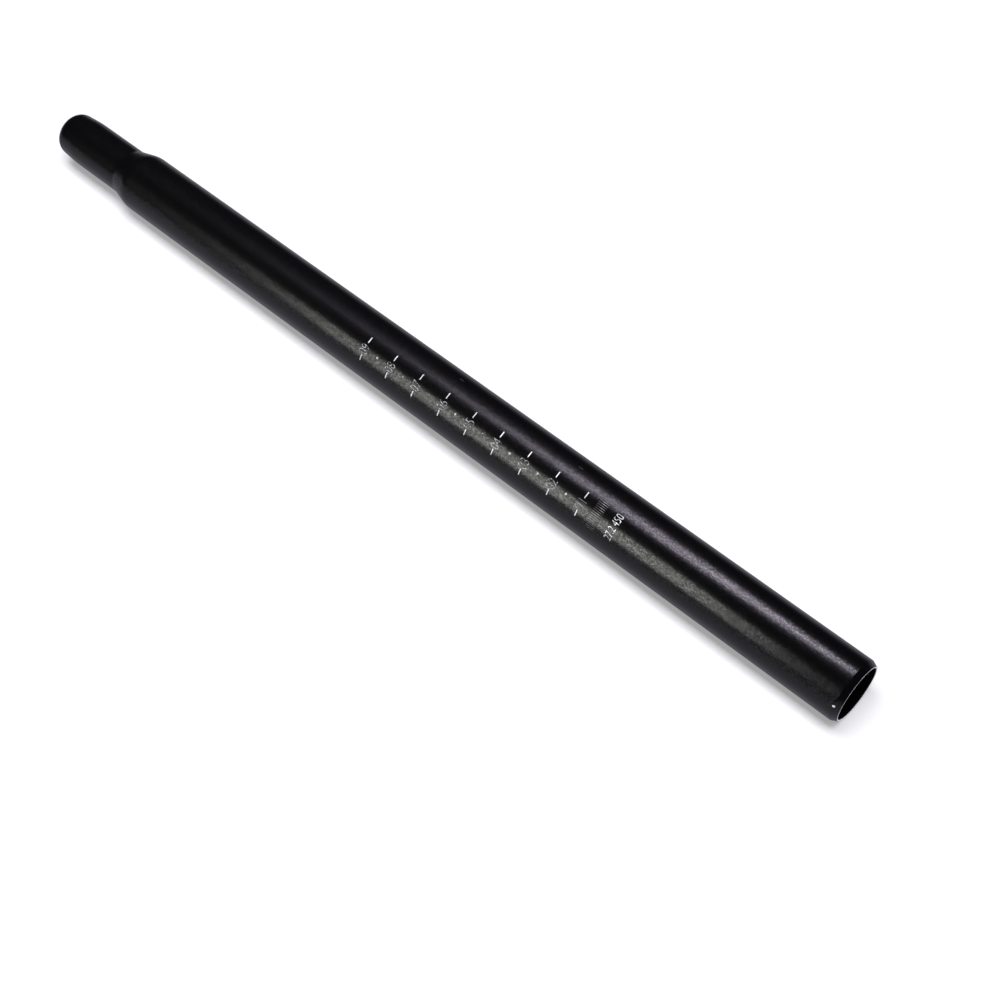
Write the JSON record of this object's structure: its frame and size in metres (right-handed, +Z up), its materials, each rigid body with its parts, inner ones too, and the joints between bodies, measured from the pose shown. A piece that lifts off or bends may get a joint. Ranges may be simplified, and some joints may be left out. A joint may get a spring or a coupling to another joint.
{
  "type": "bicycle seatpost",
  "caption": "Straight round bicycle seatpost: a black aluminium tube, open below, with a swaged neck on top for a clamp-on saddle.",
  "frame": {"origin": "under the middle of the tube's length, on the surface that the tube lies on", "axes": "+X along the tube towards its open lower end, so the saddle neck points to -X; +Z up from the surface that the tube lies on"},
  "size_m": [0.45, 0.0272, 0.0272],
  "materials": {
    "black_tube": "satin black coating with a fine grain over aluminium, bare metal at the cut edge and in the etched marks",
    "etched_mark": "bright etched line"
  },
  "bodies": {
    "root": {"seatpost_tube": "black_tube"}
  },
  "joints": []
}
